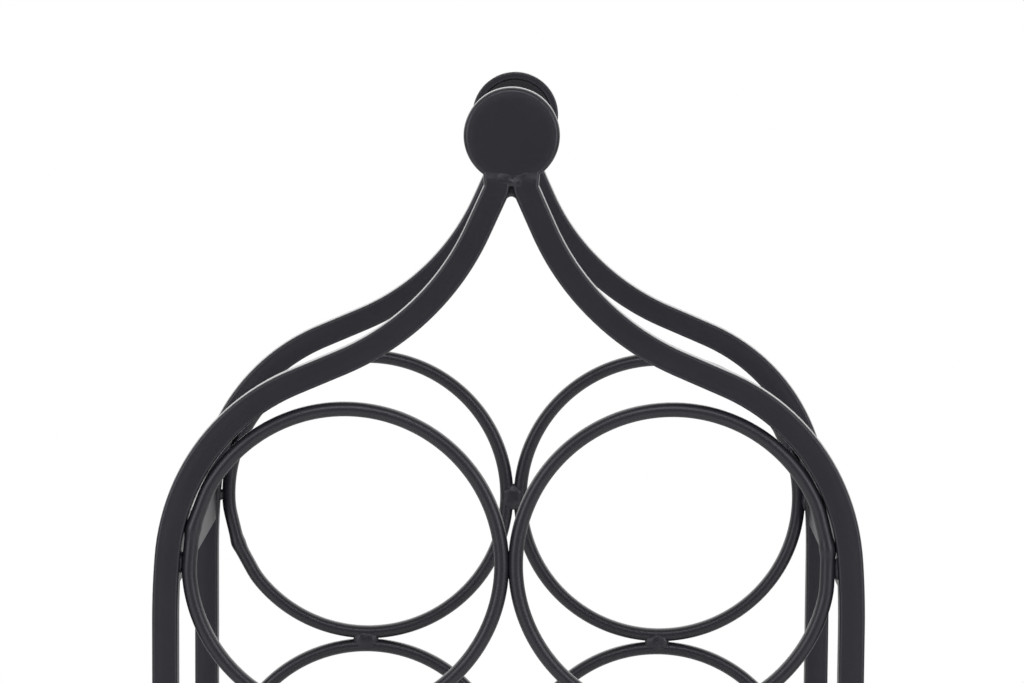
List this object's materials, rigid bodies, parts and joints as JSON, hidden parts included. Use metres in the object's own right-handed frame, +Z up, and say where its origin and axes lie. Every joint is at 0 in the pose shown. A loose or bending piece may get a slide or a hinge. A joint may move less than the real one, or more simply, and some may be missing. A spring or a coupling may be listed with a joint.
{
  "type": "wine rack",
  "caption": "Free-standing steel wine rack: onion-arched frames of square bar carry columns of wire rings for bottles lying down, joined by flat crossbars.",
  "frame": {"origin": "on the floor, under the middle of the rack", "axes": "+Z up, -Y towards the front, +X to the right as seen from the front"},
  "size_m": [0.2328, 0.1636, 0.5501],
  "materials": {
    "black_powder_coat": "semi-matte black powder coat on steel",
    "foot_cap_plastic": "moulded black plastic"
  },
  "bodies": {
    "root": {"front_left_hoop_bar": "black_powder_coat", "front_left_ring_1": "black_powder_coat", "front_left_ring_2": "black_powder_coat", "front_left_ring_3": "black_powder_coat", "front_left_ring_4": "black_powder_coat", "front_left_stack_weld_1": "black_powder_coat", "front_left_stack_weld_2": "black_powder_coat", "front_left_stack_weld_3": "black_powder_coat", "front_right_hoop_bar": "black_powder_coat", "front_right_ring_1": "black_powder_coat", "front_right_ring_2": "black_powder_coat", "front_right_ring_3": "black_powder_coat", "front_right_ring_4": "black_powder_coat", "front_right_stack_weld_1": "black_powder_coat", "front_right_stack_weld_2": "black_powder_coat", "front_right_stack_weld_3": "black_powder_coat", "front_row_weld_1": "black_powder_coat", "front_row_weld_2": "black_powder_coat", "front_row_weld_3": "black_powder_coat", "front_row_weld_4": "black_powder_coat", "front_bottom_rail": "black_powder_coat", "front_disc": "black_powder_coat", "front_neck_weld": "black_powder_coat", "back_left_hoop_bar": "black_powder_coat", "back_left_ring_1": "black_powder_coat", "back_left_ring_2": "black_powder_coat", "back_left_ring_3": "black_powder_coat", "back_left_ring_4": "black_powder_coat", "back_left_stack_weld_1": "black_powder_coat", "back_left_stack_weld_2": "black_powder_coat", "back_left_stack_weld_3": "black_powder_coat", "back_right_hoop_bar": "black_powder_coat", "back_right_ring_1": "black_powder_coat", "back_right_ring_2": "black_powder_coat", "back_right_ring_3": "black_powder_coat", "back_right_ring_4": "black_powder_coat", "back_right_stack_weld_1": "black_powder_coat", "back_right_stack_weld_2": "black_powder_coat", "back_right_stack_weld_3": "black_powder_coat", "back_row_weld_1": "black_powder_coat", "back_row_weld_2": "black_powder_coat", "back_row_weld_3": "black_powder_coat", "back_row_weld_4": "black_powder_coat", "back_bottom_rail": "black_powder_coat", "back_disc": "black_powder_coat", "back_neck_weld": "black_powder_coat", "left_lower_crossbar": "black_powder_coat", "left_upper_crossbar": "black_powder_coat", "right_lower_crossbar": "black_powder_coat", "right_upper_crossbar": "black_powder_coat", "front_left_foot_cap": "foot_cap_plastic", "front_right_foot_cap": "foot_cap_plastic", "back_left_foot_cap": "foot_cap_plastic", "back_right_foot_cap": "foot_cap_plastic"}
  },
  "joints": []
}
